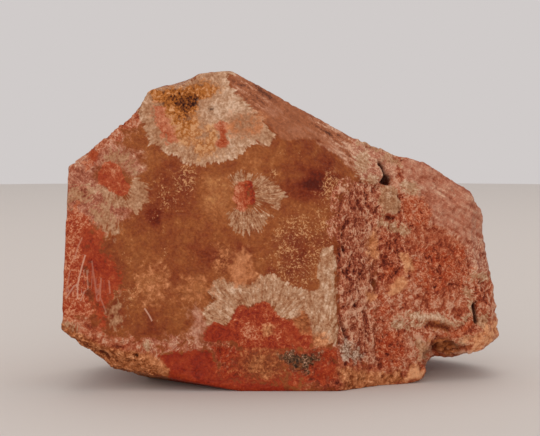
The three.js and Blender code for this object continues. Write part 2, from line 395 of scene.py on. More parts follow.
        "seamRed": {"oval": (382, 312, 7, 11, 0), "look": (0.5, 1.0, -0.03, 3)},
        "lensBack": {"oval": (394, 276, 10, 8, -20), "look": (0.75, 0.6, 0.1, 2)},
    },
    # tan and honey lenses, and the worn bevel
    "tan": {
        "bevel": {"outline": [(60, 324), (80, 334), (100, 346), (116, 350), (134, 352), (150, 356),
            (167, 369), (150, 380), (120, 373), (95, 360), (70, 340)], "look": (0.45, 0.9, 0.4, 1.5)},
        "bevelLow": {"oval": (130, 366, 16, 4, 8), "look": (0.75, 0.4, 0.5)},
        "bevelEnd": {"stroke": [(146, 357), (156, 363), (165, 371)], "half": 4,
            "look": (0.75, 0.4, 0.5)},
        "honeyPale": {"outline": [(230, 260), (236, 250), (248, 249), (252, 262), (257, 284),
            (236, 285), (229, 277)], "look": (0.85, 0.15, 0.7, 2)},
        "honeySide": {"oval": (224, 262, 7, 13, 0), "look": (0.4, 0.8, 0.2, 2.5)},
        "baseOrange": {"oval": (352, 376, 9, 6, 0), "look": (0.8, 0.4, 0.5, 2)},
        "baseMiddle": {"oval": (264, 364, 22, 12, 0), "look": (0.25, 0.6, 0.15, 4)},
        "baseTan": {"outline": [(338, 368), (360, 370), (380, 374), (400, 372), (408, 384), (345, 390)],
            "look": (0.65, 0.7, 0.3, 2)},
        "footCorner": {"outline": [(405, 373), (412, 364), (421, 366), (424, 374), (418, 381),
            (406, 383)], "look": (1.15, 0.2, 3, 2)},
        "lensHigh": {"outline": [(401, 253), (408, 252), (413, 264), (414, 271), (407, 271),
            (402, 263)], "look": (1.0, 0.6, 0.5, 1.2)},
        "lensLow": {"oval": (398, 286, 11, 6.5, -38), "look": (1.1, 0.2)},
        "seamHigh": {"oval": (373, 246, 5, 14, 0), "look": (0.75, 0.5, 0.4, 1.5)},
        "seamLow": {"oval": (371, 296, 4.5, 5, 0), "look": (0.85, 0.4, 0.4, 1.2)},
        "spotA": {"outline": [(134, 284), (140, 272), (150, 268), (162, 270), (168, 282), (164, 296),
            (152, 302), (140, 298)], "look": (0.7, 0.4, 0.0, 4)},
        "spotB": {"oval": (195, 291, 14, 12, 0), "look": (0.5, 0.4, -0.05, 4)},
        "coreSpot": {"oval": (268, 331, 6, 5, 0), "look": (0.7, 0.6, 0.3, 1.5)},
        "crownPeach": {"outline": [(230, 119), (246, 115), (258, 116), (262, 126), (258, 134),
            (242, 136), (231, 132)], "look": (0.65, 0.2, 0.08, 3)},
        "notch": {"outline": [(294, 320), (303, 311), (310, 320), (311, 334), (300, 332)],
            "look": (0.4, 0.3, 0.5, 1.5)},
        "armFoot": {"oval": (320, 340, 8, 6, 20), "look": (0.85, 0.6, 0.2, 2)},
        "brownFold": {"stroke": [(430, 324), (440, 326), (448, 328)], "half": 3.5,
            "look": (0.1, 0.6, 0.3, 1.5)},
        # dark in the recess under the lip: partly the stone's own colour, partly painted shade
        "recessWallAndShade": {"oval": (444, 346, 14, 8, 10), "look": (0.08, 0.4, 0.3, 2)},
        "lip": {"stroke": [(474, 344), (486, 338), (495, 330)], "half": 7, "look": (1.15, 0.5, 0.4, 3)},
    },
    # grey-green dark patch and grey crystals
    "grey": {
        "greenPatch": {"outline": [(282, 357), (292, 353), (304, 355), (320, 353), (318, 361),
            (308, 366), (306, 372), (292, 370), (286, 364)], "look": (0.25, 1.0, 0.35, 2)},
        "crystals": {"outline": [(340, 347), (350, 344), (362, 347), (363, 356), (355, 360),
            (344, 356)], "look": (0.85, 1.0, 0.2, 2)},
    },
}
# softer changes of the brown opal, smoke below zero and honey above, and its pale flecks:
# centre, half width, half height, amount
toneSpots = {
    "paleSpot": (152, 284, 18, 17, 0.5), "paleSpotToo": (195, 291, 16, 12, 0.4),
    "smokeLeft": (154, 216, 9, 12, -0.65), "smokeRight": (303, 190, 29, 12, -0.6),
    "smokeTail": (320, 178, 22, 13, -0.4), "smokeRed": (318, 160, 36, 20, -0.3),
    "fleckedBrown": (174, 190, 28, 30, -0.35), "brownMiddle": (206, 252, 18, 26, -0.35),
    "brownLow": (155, 324, 34, 18, -0.2), "darkSpot": (271, 270, 5, 4, -0.7),
    "granularDark": (298, 272, 18, 20, -0.4), "granular": (300, 240, 36, 24, -0.1),
    "brownPatch": (134, 138, 14, 12, 0.1), "honeyUnderCrown": (262, 156, 24, 11, 0.1),
    "honeyLeft": (135, 236, 24, 16, 0.12), "pinkBrown": (217, 192, 19, 30, 0.42),
    "honeyTop": (160, 158, 16, 8, 0.15), "honeyRight": (285, 222, 30, 10, 0.12),
    "honeyFan": (240, 240, 20, 8, 0.15),
}
fleckSpots = {
    "brown": (187, 178, 13, 17, 0.6), "brownWide": (176, 192, 30, 28, 0.4),
    "granular": (300, 250, 40, 48, 0.72), "seam": (332, 200, 16, 40, 0.55),
    "cluster": (273, 174, 6, 6, 0.9), "honeyEdge": (164, 250, 5, 9, 0.6),
    "lowLeft": (126, 296, 22, 14, 0.55), "smoke": (330, 187, 16, 18, 0.3),
    "base": (300, 366, 70, 16, 0.4), "spotRim": (196, 304, 20, 12, 0.45),
    "honeyFan": (226, 264, 8, 16, 0.45), "spotEdge": (150, 284, 20, 20, 0.35),
    "leftMiddle": (124, 262, 14, 10, 0.35), "smokeLeft": (140, 216, 24, 12, 0.3),
    "core": (262, 330, 40, 14, 0.4),
}
# pale sanding scratches on the red left side, and dark cracks
scratchLines = {
    "main": {"path": [(85, 256), (82, 266), (79, 278), (77.5, 287), (77.5, 297)], "strength": 0.7},
    "upper": {"path": [(82, 238), (78, 247), (74, 260)], "strength": 0.3},
    "left": {"path": [(74, 286), (66, 298)], "strength": 0.5},
    "short": {"path": [(84.5, 291), (81, 300)], "strength": 0.45},
    "fineA": {"path": [(87, 271), (88, 289)], "strength": 0.35},
    "fineB": {"path": [(101, 279), (100, 298)], "strength": 0.3},
    "fineC": {"path": [(109, 281), (110, 293)], "strength": 0.3},
    "fineD": {"path": [(92, 262), (97, 300)], "strength": 0.25},
    "fineE": {"path": [(70, 270), (66, 292)], "strength": 0.3},
    "fineF": {"path": [(95, 284), (106, 312)], "strength": 0.25},
    "low": {"path": [(145, 309), (149, 315), (151.5, 320)], "strength": 0.75},
}
crackLines = {
    "step": {"path": [(338, 245), (339, 262), (337, 290), (339, 318), (339, 345)], "strength": 1.0},
    "stepUpper": {"path": [(343, 194), (339, 208), (338, 228), (338, 245)], "strength": 0.6},
    "diagonal": {"path": [(341, 318), (345, 328), (349.5, 338)], "strength": 1.0},
    "starUp": {"path": [(387, 178), (384, 168), (380.5, 162)], "strength": 1.2},
    "starLeft": {"path": [(387, 178), (380, 184), (374, 191)], "strength": 0.9},
    "starRight": {"path": [(387, 178), (390, 184), (393, 190)], "strength": 1.0},
    "footSeam": {"path": [(377, 335), (378, 350), (381, 366)], "strength": 0.8},
    "crustEdge": {"path": [(412, 334), (416, 346), (418, 358), (422, 370)], "strength": 0.7},
    "crustTop": {"path": [(408, 328), (418, 331), (426, 336)], "strength": 0.7},
    "seamDeep": {"path": [(372, 268), (373, 280), (377, 290)], "strength": 0.9},
    "seamDeepLow": {"path": [(366, 312), (367, 326), (371, 340)], "strength": 0.7},
    "lipFold": {"path": [(433, 345), (438, 338), (449, 340), (458, 347), (470, 348)], "strength": 1.0},
    "endFold": {"path": [(438, 186), (446, 193), (452, 194)], "strength": 0.5},
}
# holes and swellings, pushed along the surface in mm. wrap: mm that one runs back over an edge.
reliefs = {
    "shoulder": {"stroke": [(418, 163), (444, 176), (464, 193), (476, 212)], "half": 14, "push": 0.8,
        "soft": 2.2, "wrap": 7},
    "rightEnd": {"stroke": [(490, 246), (494, 280), (498, 312)], "half": 12, "push": 0.45, "soft": 2.0,
        "wrap": 7},
    "crownPit": {"oval": (184, 101, 12, 10, 0), "push": -0.6, "soft": 1.0},
    "tinyPit": {"oval": (211.4, 109.5, 2.4, 2.4, 0), "push": -1.1, "soft": 0.25},
    "bevelPit": {"oval": (135.5, 356.5, 3, 2.2, 0), "push": -1.1, "soft": 0.3},
    "bevelHollow": {"oval": (118, 347, 9, 3, 8), "push": -0.55, "soft": 0.5},
    "bevelHollowToo": {"oval": (103, 356, 8, 4, 35), "push": -0.6, "soft": 0.5},
    "fanNick": {"oval": (213, 299.5, 3.5, 1.8, 10), "push": -0.8, "soft": 0.25},
    "star": {"oval": (388, 179, 4.5, 5.5, 10), "push": -2.0, "soft": 0.7},
    "starCrack": {"stroke": [(381, 163), (384, 170), (387, 178)], "half": 1.8, "push": -1.0,
        "soft": 0.4},
    "starSpot": {"oval": (400, 197, 4.5, 3, 20), "push": -0.7, "soft": 0.5},
    "noduleSwell": {"oval": (390, 200, 11, 15, 0), "push": 0.7, "soft": 1.2},
    "noduleUnder": {"oval": (391, 218, 6.5, 3.5, 15), "push": -0.9, "soft": 0.5},
    "seamHole": {"oval": (344.5, 249, 1.8, 4, -10), "push": -1.4, "soft": 0.35},
    "seamHoleToo": {"oval": (343.5, 236, 1.3, 3, 0), "push": -1.0, "soft": 0.3},
    "seamHoleLow": {"oval": (357, 306, 4, 3, 0), "push": -0.6, "soft": 0.5},
    "seamHoleDeep": {"oval": (376, 283, 3, 4, 0), "push": -0.3, "soft": 0.5},
    "ridgeHole": {"oval": (362, 181, 2, 1.5, 0), "push": -0.8, "soft": 0.3},
    "endSlit": {"stroke": [(475, 305), (475.8, 310), (476.4, 316), (477.5, 322)], "half": 2.3,
        "push": -1.8, "soft": 0.4},
    "veinRidge": {"stroke": [(398, 318), (425, 316), (446, 321), (458, 324), (468, 318)], "half": 4.5,
        "push": 0.4, "soft": 0.8},
    "brownFold": {"stroke": [(428, 326), (438, 325), (448, 329)], "half": 3, "push": -0.45,
        "soft": 0.6},
    "lipEdge": {"stroke": [(452, 343), (470, 344), (488, 338)], "half": 5, "push": 0.4, "soft": 1.0},
    "recess": {"oval": (447, 348, 17, 9, 5), "push": 1.0, "soft": 1.4},
    "recessSpot": {"oval": (434, 348.5, 2.5, 4, 0), "push": -1.5, "soft": 0.4},
    "lensSwell": {"oval": (407, 262, 6, 9, 0), "push": 0.3, "soft": 0.7},
    "lensSwellToo": {"oval": (398, 286, 10, 6, -38), "push": 0.3, "soft": 0.7},
}


# signed distance in pixels from a shape's edge, positive inside
def shapeDistance(shape, u, v):
    if "oval" in shape:
        x, y, halfWide, halfTall, turn = shape["oval"]
        c, s = math.cos(math.radians(turn)), math.sin(math.radians(turn))
        across = ((u - x) * c + (v - y) * s) / halfWide
        along = ((v - y) * c - (u - x) * s) / halfTall
        return (1 - np.hypot(across, along)) * min(halfWide, halfTall)
    closed = "outline" in shape
    points = shape["outline"] if closed else shape["stroke"]
    nearest = np.full(len(u), 1e6)
    inside = np.zeros(len(u), bool)
    ends = points[1:] + points[:1] if closed else points[1:]
    for (ax, ay), (bx, by) in zip(points, ends):
        ex, ey = bx - ax, by - ay
        t = np.clip(((u - ax) * ex + (v - ay) * ey) / (ex * ex + ey * ey), 0, 1)
        nearest = np.minimum(nearest, np.hypot(u - ax - t * ex, v - ay - t * ey))
        if closed and ay != by:
            crosses = (ay > v) != (by > v)
            inside ^= crosses & (u < ax + (v - ay) * ex / ey)
    return np.where(inside, nearest, -nearest) if closed else shape["half"] - nearest


def smoothStep(low, high, x):
    t = np.clip((x - low) / (high - low), 0, 1)
    return t * t * (3 - 2 * t)


# noise over points in mm, lumps of the given size
def lumps(points, size, seed, octaves=2):
    shift = Vector((seed * 17.3, seed * 5.7, seed * 11.9))
    scaled = points / size
    return np.array([noise.fractal(Vector(p) + shift, 0.9, 2.1, octaves) for p in scaled])


# evens values out over the mesh
def soften(values, edges, times):
    a, b = edges.T
    count = len(values)
    neighbours = np.bincount(a, minlength=count) + np.bincount(b, minlength=count)
    for _ in range(times):
        total = np.bincount(a, values[b], count) + np.bincount(b, values[a], count)
        values = 0.5 * values + 0.5 * total / neighbours
    return values


# lumps of the height and width that the stone's values give
def bumps(points, name, seed, octaves=2):
    high, wide = stone[name]
    return high * lumps(points, wide, seed, octaves)


def remeshedCopy(node):
    block = bpy.data.objects.new("remeshBlock", node.data.copy())
    bpy.context.scene.collection.objects.link(block)
    remesh = block.modifiers.new("voxels", "REMESH")
    remesh.mode = "VOXEL"
    remesh.voxel_size = stone["voxel"] / 1000
    rounding = block.modifiers.new("rounding", "SMOOTH")
    rounding.factor = 0.5
    rounding.iterations = stone["softenTimes"]
    depsgraph = bpy.context.evaluated_depsgraph_get()
    mesh = bpy.data.meshes.new_from_object(block.evaluated_get(depsgraph))
    bpy.data.objects.remove(block)
    mesh.name = "opalStone"
    return mesh


# where the camera sees each point: pixel, mm per pixel, and mm of stone in front of it
def seenFromCamera(points, tree):
    eye = np.array(camera["place"]) * 1000
    pitch = math.radians(camera["pitchDown"])
    forward = np.array([0, math.cos(pitch), -math.sin(pitch)])
    upward = np.array([0, math.sin(pitch), math.cos(pitch)])
    wide, tall = camera["picture"]
    focal = camera["lens"] / camera["sensor"] * wide
    rays = points - eye
    depth = rays @ forward
    u = wide / 2 + focal * rays[:, 0] / depth
    v = tall / 2 - focal * (rays @ upward) / depth
    lengths = np.linalg.norm(rays, axis=1)
    start = Vector(eye)
    aims = rays / lengths[:, None]
    firstHit = np.array([tree.ray_cast(start, Vector(a))[3] or l for a, l in zip(aims, lengths)])
    behind = lengths - firstHit
    return u, v, depth / focal, np.where(behind < stone["seenSlack"], 0, behind)


# depth in mm into one mineral's zones, with the tint and coarseness of the last zone over each point
def zoneField(mineralZones, view):
    u, v, mmPerPixel, behind = view
    best = np.full(len(u), -9.0)
    owner = np.full(len(u), -1)
    for index, zone in enumerate(mineralZones.values()):
        inside = np.minimum(shapeDistance(zone, u, v) * mmPerPixel, stone["wrap"] - behind)
        full, soft = zone["look"][2:] + stone["zoneEdge"][len(zone["look"]) - 2:]
        inside = np.minimum(inside / soft, full)
        owner[(inside > best) | (inside > 0.02)] = index
        best = np.maximum(best, inside)
    tint, coarse = np.array([zone["look"][:2] for zone in mineralZones.values()] + [(0.5, 0.5)])[owner].T
    return {"depth": best, "tint": tint, "coarse": coarse, "owner": owner}


def softSpots(spots, view):
    u, v, _, behind = view
    total = np.zeros(len(u))
    for x, y, halfWide, halfTall, amount in spots.values():
        far = np.hypot((u - x) / halfWide, (v - y) / halfTall)
        total += amount * (1 - smoothStep(*stone["spotFade"], far))
    return total * (1 - smoothStep(1.0, stone["wrap"], behind))


# signed offset in mm from the nearest line, and its strength close by
def lineField(lines, view):
    u, v, mmPerPixel, behind = view
    offset = np.full(len(u), 9.0)
    strength = np.zeros(len(u))
    for line in lines.values():
        for (ax, ay), (bx, by) in zip(line["path"], line["path"][1:]):
            length = math.hypot(bx - ax, by - ay)
            ex, ey = (bx - ax) / length, (by - ay) / length
            along = (u - ax) * ex + (v - ay) * ey
            side = ((u - ax) * ey - (v - ay) * ex) * mmPerPixel
            past = np.maximum(np.maximum(-along, along - length), 0) * mmPerPixel
            here = (np.hypot(side, past) < np.abs(offset)) & (past < 0.25)
            offset[here] = side[here]
            strength[here] = line["strength"]
    return offset, strength * (1 - smoothStep(*stone["lineReach"], np.abs(offset))) * (behind == 0)


def setAttribute(mesh, name, *columns):
    if len(columns) == 1:
        attribute = mesh.attributes.new(name, "FLOAT", "POINT")
        attribute.data.foreach_set("value", columns[0].astype(np.float32))
    else:
        attribute = mesh.attributes.new(name, "FLOAT_VECTOR", "POINT")
        attribute.data.foreach_set("vector", np.stack(columns, 1).astype(np.float32).ravel())


def vertexArray(mesh, name):
    values = np.empty(len(mesh.vertices) * 3, np.float32)
    mesh.vertices.foreach_get(name, values)
    return values.reshape(-1, 3).astype(float)


def makeStone():
    mesh = remeshedCopy(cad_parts["opal_stone"])
    points = vertexArray(mesh, "co") * 1000
    normals = vertexArray(mesh, "normal")
    edges = np.empty(len(mesh.edges) * 2, np.int32)
    mesh.edges.foreach_get("vertices", edges)
    edges = edges.reshape(-1, 2)
    print("stone remeshed:", len(mesh.polygons), "faces")

    faces = [tuple(p.vertices) for p in mesh.polygons]
    view = seenFromCamera(points, BVHTree.FromPolygons([Vector(p) for p in points], faces))
    u, v, mmPerPixel, behind = view
    hidden = smoothStep(*stone["hiddenFrom"], behind)
    print("stone seen from the camera:", int((behind == 0).sum()), "points in view")

    fields = {name: zoneField(mineralZones, view) for name, mineralZones in zones.items()}
    tone = softSpots(toneSpots, view)
    fleck = softSpots(fleckSpots, view)
    scratch, scratchNear = lineField(scratchLines, view)
    crackNear = lineField(crackLines, view)[1]
    for field in fields.values():
        field["tint"] = soften(field["tint"], edges, stone["tintBlend"])
        field["coarse"] = soften(field["coarse"], edges, stone["tintBlend"])

    # hidden sides: patches of broken crust between windows of brown opal with rosettes of their own
    crust, chalk, red = fields["crust"], fields["chalk"], fields["red"]
    patches = lumps(points, stone["patchSize"], 3, 3) * stone["patchSteep"] + stone["patchRaise"]
    patches = patches * hidden - 3 * (1 - hidden)
    crust["depth"] = np.where(hidden > 0, np.maximum(crust["depth"], patches), crust["depth"])
    patchTint = 0.5 + 0.5 * lumps(points, stone["patchTintSize"], 5)
    crust["tint"] = np.where(hidden > 0.5, patchTint, crust["tint"])
    hearts = np.zeros_like(points)
    for index, zone in enumerate(zones["chalk"].values()):
        heartPixel = np.hypot(u - zone["heart"][0], v - zone["heart"][1]) + 1e3 * (behind > 0)
        hearts[chalk["owner"] == index] = points[heartPixel.argmin()]
    chance = np.random.default_rng(stone["hiddenSeed"])
    candidates = np.flatnonzero((behind > 5) & (points[:, 2] > 3))
    warp = bumps(points, "rosetteWarp", 21, 3)
    for pick in chance.choice(candidates, stone["hiddenRosettes"], replace=False):
        size = chance.uniform(*stone["rosetteSize"])
        reach = (points - points[pick]) * chance.uniform(*stone["rosetteStretch"], 3)
        away = np.linalg.norm(reach, axis=1) + warp
        rim = np.where(behind > 0, np.minimum(size - away, stone["rosetteFull"]), -9)
        aside = reach + chance.normal(0, stone["coreOff"] * size, 3)
        offCentre = np.linalg.norm(aside, axis=1) + stone["coreWarp"] * warp
        core = np.where(behind > 0, chance.uniform(*stone["coreShare"]) * size - offCentre, -9)
        hearts[rim > chalk["depth"]] = points[pick]
        for field, depth in ((chalk, rim), (red, core)):
            nearer = depth > field["depth"]
            field["depth"][nearer] = depth[nearer]
            field["tint"][nearer] = chance.uniform(0.2, 0.9)
            field["coarse"][nearer] = chance.uniform(0.2, 1.0)
    print("stone marked")

    # relief: the break is rough, the sawn front nearly flat, the base stays flat
    depths = {name: field["depth"] for name, field in fields.items()}
    depths["bevel"] = zoneField({"bevel": zones["tan"]["bevel"]}, view)["depth"]
    broken = hidden
    for name, (share, low, high) in stone["rough"].items():
        broken = np.maximum(broken, share * smoothStep(low, high, depths[name]))
    swollen = stone["frontSwell"] + (1 - stone["frontSwell"]) * hidden
    push = broken * (swollen * bumps(points, "brokenSwell", 11, 3)
                     + bumps(points, "brokenLump", 12) + bumps(points, "brokenGrit", 13))
    creaseDepth, creaseApart = stone["creases"]
    offCrease = smoothStep(0, stone["creaseEdge"], np.abs(lumps(points, creaseApart, 15)))
    push -= broken * creaseDepth * (1 - offCrease)
    push += (1 - broken) * bumps(points, "sawnWave", 14)
    for relief in reliefs.values():
        depth = shapeDistance(relief, u, v) * mmPerPixel
        shown = 1 - smoothStep(0, relief.get("wrap", 0.1), behind)
        push += relief["push"] * smoothStep(-relief["soft"] / 2, relief["soft"], depth) * shown
    push -= stone["crackDepth"] * crackNear
    low = points[:, 2] < stone["baseHeight"]
    push[low & (normals[:, 2] < -0.7)] = 0
    moved = points + normals * push[:, None]
    moved[:, 2] = np.maximum(moved[:, 2], np.where(low, 0, 0.02))
    mesh.vertices.foreach_set("co", (moved / 1000).astype(np.float32).ravel())
    mesh.polygons.foreach_set("use_smooth", np.ones(len(mesh.polygons), bool))
    mesh.update()
    # painted shade: points lower than the relief around them darken the colour, as shade in creases
    around = soften(push, edges, stone["creaseShadeBlend"])
    creaseShade = np.clip((push - around) / stone["creaseShadeDepth"], -1, 1)
    print("stone broken: relief from", round(push.min(), 2), "to", round(push.max(), 2), "mm")

    spokes = moved - hearts
    spokes /= np.maximum(np.linalg.norm(spokes, axis=1), 0.2)[:, None]
    for name, field in fields.items():
        setAttribute(mesh, name + "Zone", field["depth"], field["tint"], field["coarse"])
    setAttribute(mesh, "chalkSpoke", *spokes.T)
    setAttribute(mesh, "tone", tone)
    setAttribute(mesh, "fleck", fleck)
    setAttribute(mesh, "scratch", scratch)
    setAttribute(mesh, "scratchNear", scratchNear)
    setAttribute(mesh, "reliefAndShade", push, creaseShade, broken)

    piece = bpy.data.objects.new("opalStone", mesh)
    bpy.context.scene.collection.objects.link(piece)
    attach(piece, "root")
    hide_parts("opal_stone")
    return piece


opalStone = makeStone()


# Common opal, sanded on the front and broken elsewhere: to the eye a waxy brown body,
# dull chalky rosettes, red cores and a pink broken crust
opal = {
    "ior": 1.45,
    "specular": 0.15,
    "roughness": {"sawn": 0.45, "broken": 0.62, "chalk": 0.2},   # chalk: added
    "sheenFields": {"mottle": 0.2},
    # lump size in mm, octaves, twist
    "grains": {"cloud": (5.0, 3, 0.0), "mottle": (1.5, 3, 0.3), "grit": (0.65, 2, 0.5),
               "grain": (0.32, 1, 0.0)},
    # curly pale threads: spacing in mm, octaves, twist, upright stretch,
    # and where a line starts and is full, 0.5 being its middle
    "threads": {"thread": (0.9, 2, 0.9, 1.0, 0.43, 0.485),
                "fineThread": (0.48, 1, 0.6, 1.0, 0.43, 0.485),
                "upright": (0.75, 2, 0.8, 0.45, 0.43, 0.485),
                "wisp": (2.4, 2, 1.0, 0.9, 0.472, 0.495)},
    "fibreCount": 16,      # chalk fibres on a radian of a rosette
    "fibreWander": 0.6,    # how much the fibres change along their length
    "streakTurn": 32,      # degrees, along the slope
    "streakSize": (4.0, 4.0, 0.6),   # mm
    "brown": [(0.0, "#541402"), (0.2, "#70250a"), (0.4, "#823a1a"), (0.55, "#8c4721"), (0.7, "#965328"),
              (0.85, "#a46236"), (1.0, "#b47746")],
    "brownStart": 0.605,
    "brownFields": {"tone": 0.5, "cloud": 0.8, "mottle": 0.6, "grit": 0.35, "grain": 0.25},
    "fleck": "#c69266",
    "fleckStart": -0.35,
    "fleckFields": {"fleck": 0.5, "fineThread": 0.35, "grain": 0.9, "mottle": 0.9},
    "fleckEdge": (0.08, 0.36),
    "fleckCover": 0.8,
    "lift": 1.03,          # brightness of the whole
    "speckle": {"grain": 0.38, "grit": 0.35, "fineThread": 0.1},
    "scratch": "#d8a890",
    "scratchEdge": (0.16, 0.05),   # mm from the middle of a scratch
    # painted shade: near-black colour laid into cracks and pits, by how deep they are pushed in
    "pitShadeColour": "#300f08",
    "pitShadeDepth": (-0.3, -1.1),     # mm below the surface
    "pitShadeCover": 0.9,
    "bump": 0.55,
    "bumpHeight": 0.0003,          # metres
    "bumpFields": {"grain": 0.5, "grit": 0.5, "fineThread": 0.15, "thread": 0.15},
}
# how each mineral lies over the one before it. edge: what makes its rim wander, mm. soft: half of the rim.
# start, tint: place along the stops. fields: what varies the colour, coarse: the same where it is grainy.
# a mineral's weight on the crease darkening is painted shade: darker colour in creases
minerals = {
    "facet": {"edge": {"mottle": 1.2, "grit": 0.5}, "soft": 0.25, "start": 0.3, "tint": 0.45,
        "fields": {"streak": 0.6, "cloud": 0.4, "grit": 0.3},
        "coarse": {"streak": 2.0, "fineThread": 0.2, "grit": 0.5, "grain": 0.5},
        "stops": [(0.0, "#5c3224"), (0.3, "#8c5136"), (0.52, "#a05f3e"), (0.75, "#b0765a"),
            (1.0, "#cda186")]},
    "crust": {"edge": {"mottle": 2.0, "grit": 1.0}, "soft": 0.2, "start": 0.3, "tint": 0.5,
        "fields": {"mottle": 0.65, "grit": 0.35, "cloud": 1.0, "creaseShade": 0.28},
        "coarse": {"wisp": 0.4, "thread": 0.36, "fineThread": 0.34, "grain": 0.4, "grit": 0.35},
        "stops": [(0.0, "#551a0e"), (0.25, "#853620"), (0.5, "#9f4d30"), (0.75, "#b46a4a"),
            (1.0, "#c8957a")]},
    "seam": {"edge": {"mottle": 1.6, "grit": 1.2}, "soft": 0.2, "start": 0.36, "tint": 0.5,
        "fields": {"cloud": 0.9, "mottle": 0.7, "grit": 0.4, "creaseShade": 0.28},
        "coarse": {"wisp": 0.36, "upright": 0.36, "fineThread": 0.3, "thread": 0.2, "grain": 0.45},
        "stops": [(0.0, "#48150c"), (0.25, "#76301e"), (0.5, "#984c32"), (0.75, "#b26e50"),
            (1.0, "#cd9c80")]},
    "pink": {"edge": {"mottle": 1.6, "grit": 0.8}, "soft": 0.3, "start": 0.3, "tint": 0.5,
        "fields": {"streak": 1.0, "cloud": 0.7, "mottle": 0.5, "grit": 0.2, "creaseShade": 0.15},
        "coarse": {"wisp": 0.45, "fineThread": 0.36, "thread": 0.2, "grain": 0.4, "grit": 0.4},
        "stops": [(0.0, "#7e3926"), (0.3, "#9c563e"), (0.5, "#b07057"), (0.75, "#be886f"),
            (1.0, "#d2a88c")]},
    "chalk": {"edge": {"mottle": 1.0, "grit": 0.8, "fibre": 1.4}, "soft": 0.15, "start": 0.82,
        "tint": -0.4,
        "fields": {"mottle": 0.7, "grit": 0.6, "grain": 0.5, "creaseShade": 0.12},
        "coarse": {"fibre": 1.6, "fineThread": 0.15, "thread": 0.1},
        "stops": [(0.0, "#6c3a22"), (0.3, "#945c3c"), (0.5, "#a67554"), (0.75, "#b98f70"),
            (1.0, "#d4b49a")]},
    "stain": {"edge": {"mottle": 1.8, "grit": 1.2}, "soft": 0.3, "start": 0.0, "tint": 0.85,
        "fields": {"mottle": 0.9, "grit": 0.7}, "coarse": {"grain": 1.4, "fineThread": 0.2,
            "grit": 1.2},
        "stops": [(0.0, "#2c100a"), (0.2, "#5a2c18"), (0.45, "#8c4e1e"), (0.7, "#b06a2e"),
            (0.85, "#b87848"), (1.0, "#c89468")]},
    "red": {"edge": {"mottle": 1.2, "grit": 1.0}, "soft": 0.14, "start": 0.12, "tint": 0.72,
        "fields": {"mottle": 0.7, "grit": 0.5, "cloud": 0.4},
        "coarse": {"grit": 0.6, "fineThread": 0.32, "thread": 0.2, "grain": 0.5},
        "stops": [(0.0, "#6a1608"), (0.25, "#8d2811"), (0.5, "#9e3b1b"), (0.7, "#aa502d"),
            (1.0, "#c68464")]},
    "tan": {"edge": {"mottle": 1.0, "grit": 1.0}, "soft": 0.3, "start": 0.15, "tint": 0.6,
        "fields": {"mottle": 0.8, "grit": 0.5, "creaseShade": 0.2}, "coarse": {"grit": 1.0,
            "fineThread": 0.3, "grain": 0.8},
        "stops": [(0.0, "#622510"), (0.3, "#8d4c26"), (0.55, "#ad683e"), (0.8, "#c48056"),
            (1.0, "#d69a70")]},
    "grey": {"edge": {"mottle": 2.2, "grit": 1.4}, "soft": 0.3, "start": 0.0, "tint": 0.8,
        "fields": {"mottle": 0.8, "grit": 0.7}, "coarse": {"grain": 1.2, "fineThread": 0.35},
        "stops": [(0.0, "#2c1c10"), (0.3, "#5c3e28"), (0.6, "#8c6248"), (1.0, "#c4a894")]},
}


# a socket or number plus each field times its weight
def weighedSum(add, start, weights, fields):
    for name, weight in weights.items():
        start = add("ShaderNodeMath", {0: fields[name], 1: weight, 2: start}, operation="MULTIPLY_ADD")
    return start


# one mineral over the body: its wandering edge, its colours, and the mask it leaves
def layMineral(add, fields, body, name, recipe):
    zone = add("ShaderNodeAttribute", out="Vector", attribute_name=name + "Zone")
    depth, tint, coarse = add("ShaderNodeSeparateXYZ", {0: zone}).node.outputs
    edge = weighedSum(add, depth, recipe["edge"], fields)
    soft = recipe["soft"]
    mask = add("ShaderNodeMapRange", {"Value": edge, "From Min": -soft, "From Max": soft},
               interpolation_type="SMOOTHSTEP")
    shade = add("ShaderNodeMath", {0: tint, 1: recipe["tint"], 2: recipe["start"]},
                operation="MULTIPLY_ADD")
    shade = weighedSum(add, shade, recipe["fields"], fields)
    grainy = weighedSum(add, 0.0, recipe["coarse"], fields)
    shade = add("ShaderNodeMath", {0: grainy, 1: coarse, 2: shade}, operation="MULTIPLY_ADD")
    colour = add("ShaderNodeValToRGB", {"Fac": shade}, stops=recipe["stops"])
    return add("ShaderNodeMix", {0: mask, 6: body, 7: colour}, out=2, data_type="RGBA"), mask


